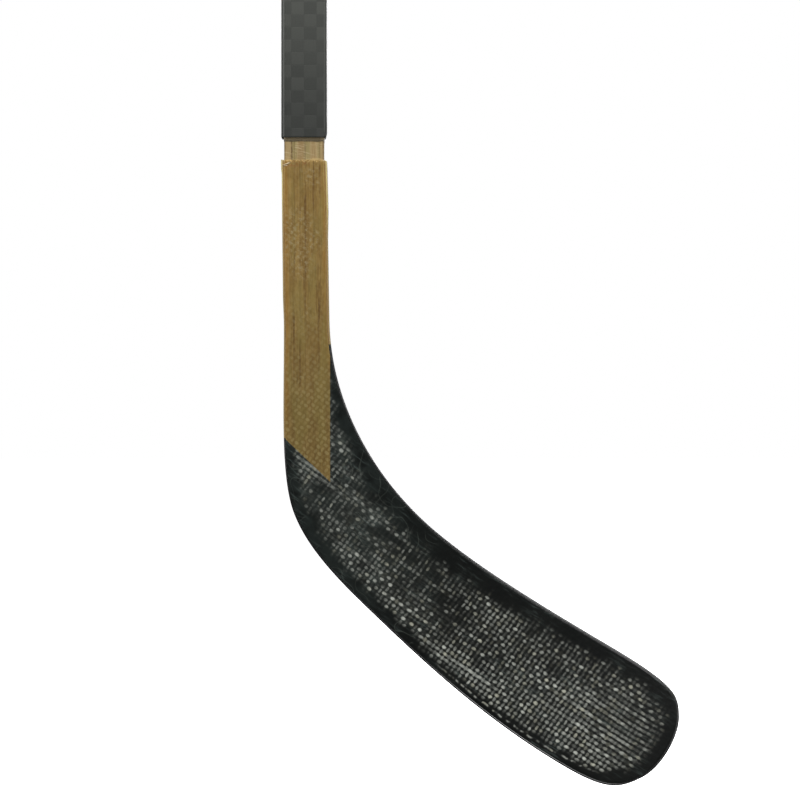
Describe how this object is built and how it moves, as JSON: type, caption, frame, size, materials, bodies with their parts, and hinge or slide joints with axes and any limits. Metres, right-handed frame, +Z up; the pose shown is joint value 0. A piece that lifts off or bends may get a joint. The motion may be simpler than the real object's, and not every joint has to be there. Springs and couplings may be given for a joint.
{
  "type": "ice hockey stick",
  "caption": "Two-piece ice hockey stick: hollow carbon shaft, laminated wood hosel whose tenon slides into it, and a curved black blade faced with woven glass.",
  "frame": {"origin": "middle of the top hand's grip, on the shaft's centreline, 150 mm below the shaft's upper end", "axes": "+Z up along the shaft to the butt end, +X across the shaft towards the blade's toe, -Y out of the forehand face"},
  "size_m": [0.2599, 0.0464, 1.7054],
  "materials": {
    "carbon_tube": "satin",
    "woven_carbon": "satin weave",
    "plug_plastic": "matte",
    "ash_wood": "raw",
    "glue": "satin",
    "clear_glass": "satin",
    "black_core": "satin",
    "glass_laminate": "satin weave"
  },
  "bodies": {
    "shaft": {"shaft_tube": "carbon_tube", "shaft_woven_ply": "woven_carbon"},
    "butt_plug": {"butt_end_plug": "plug_plastic"},
    "blade": {"hosel_lamination_1": "ash_wood", "hosel_lamination_2": "ash_wood", "hosel_lamination_3": "ash_wood", "hosel_lamination_4": "ash_wood", "hosel_glue_line_1": "glue", "hosel_glue_line_2": "glue", "hosel_glue_line_3": "glue", "hosel_heel_side_wrap": "clear_glass", "hosel_throat_side_wrap": "clear_glass", "blade_core": "black_core", "splice_glue_film": "glue", "front_glass_laminate": "glass_laminate", "back_glass_laminate": "glass_laminate", "tenon_glue_film": "glue"}
  },
  "joints": [
    {"name": "blade_slide", "type": "slide", "parent": "shaft", "child": "blade", "axis": [0, 0, 1], "range_m": [-0.06, 0.0146]},
    {"name": "butt_plug_slide", "type": "slide", "parent": "shaft", "child": "butt_plug", "axis": [0, 0, 1], "range_m": [0, 0.045]}
  ]
}
